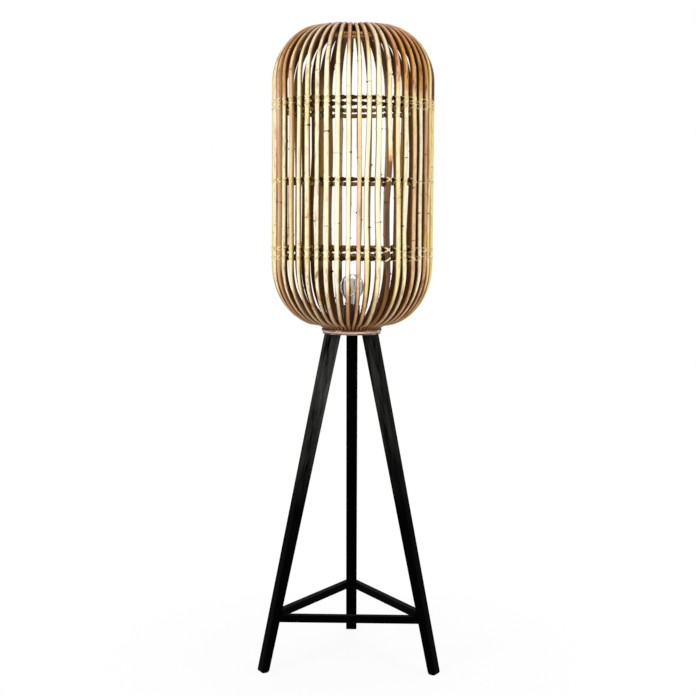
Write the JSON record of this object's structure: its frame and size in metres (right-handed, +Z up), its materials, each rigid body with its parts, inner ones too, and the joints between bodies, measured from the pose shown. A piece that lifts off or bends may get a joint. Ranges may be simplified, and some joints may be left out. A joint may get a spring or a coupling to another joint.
{
  "type": "floor lamp",
  "caption": "Free-standing floor lamp: a tall domed cage shade of bent rattan canes, with a small mouth at its top, on a black wooden tripod with stretchers.",
  "frame": {"origin": "on the floor, under the middle of the lamp's bounding box", "axes": "+Z up; the front, with the stretcher between the two front legs, looks along -Y; the rear leg stands at +Y"},
  "size_m": [0.4476, 0.4492, 1.5752],
  "materials": {
    "cane": "natural rattan cane, satin skin",
    "hoop": "dark rattan, matt",
    "band": "flat rattan peel, matt",
    "black_wood": "black painted wood with the grain showing",
    "dowel_wood": "raw beech",
    "steel": "zinc plated",
    "brass": "plain brass",
    "bulb_metal": "nickel plated",
    "holder_plastic": "brown phenolic moulding",
    "ceramic": "white, glazed",
    "glass": "clear",
    "filament": "yellow coated filament"
  },
  "bodies": {
    "lamp": {"cane_pair_01": "cane", "cane_pair_02": "cane", "cane_pair_03": "cane", "cane_pair_04": "cane", "cane_pair_05": "cane", "cane_pair_06": "cane", "cane_pair_07": "cane", "cane_pair_08": "cane", "cane_pair_09": "cane", "cane_pair_10": "cane", "cane_pair_11": "cane", "cane_pair_12": "cane", "cane_pair_13": "cane", "cane_pair_14": "cane", "cane_pair_15": "cane", "cane_pair_16": "cane", "cane_pair_17": "cane", "cane_pair_18": "cane", "cane_pair_19": "cane", "cane_pair_20": "cane", "cane_pair_21": "cane", "cane_pair_22": "cane", "cane_pair_23": "cane", "cane_pair_24": "cane", "top_hoop": "hoop", "upper_hoop_high": "hoop", "upper_hoop_low": "hoop", "middle_hoop": "hoop", "lower_hoop_high": "hoop", "lower_hoop_low": "hoop", "seat_hoop": "hoop", "collar_band": "band", "leg_rear": "black_wood", "leg_left": "black_wood", "leg_right": "black_wood", "stretcher_front": "black_wood", "stretcher_right": "black_wood", "stretcher_left": "black_wood", "head_disc": "black_wood", "dowel_front_a": "dowel_wood", "dowel_front_b": "dowel_wood", "dowel_right_a": "dowel_wood", "dowel_right_b": "dowel_wood", "dowel_left_a": "dowel_wood", "dowel_left_b": "dowel_wood", "head_screw_rear": "steel", "head_screw_left": "steel", "head_screw_right": "steel", "threaded_tube": "steel", "tube_nut": "steel", "cord_bushing": "holder_plastic", "holder_cap": "holder_plastic", "holder_body": "holder_plastic", "holder_insert": "ceramic", "screw_shell": "brass", "centre_contact": "brass"},
    "bulb": {"bulb_glass": "glass", "bulb_cap": "bulb_metal", "bulb_stem": "glass", "bulb_filament": "filament"}
  },
  "joints": [
    {"name": "bulb_lift", "type": "slide", "parent": "lamp", "child": "bulb", "axis": [0, 0, 1], "range_m": [0, 0.72]}
  ]
}
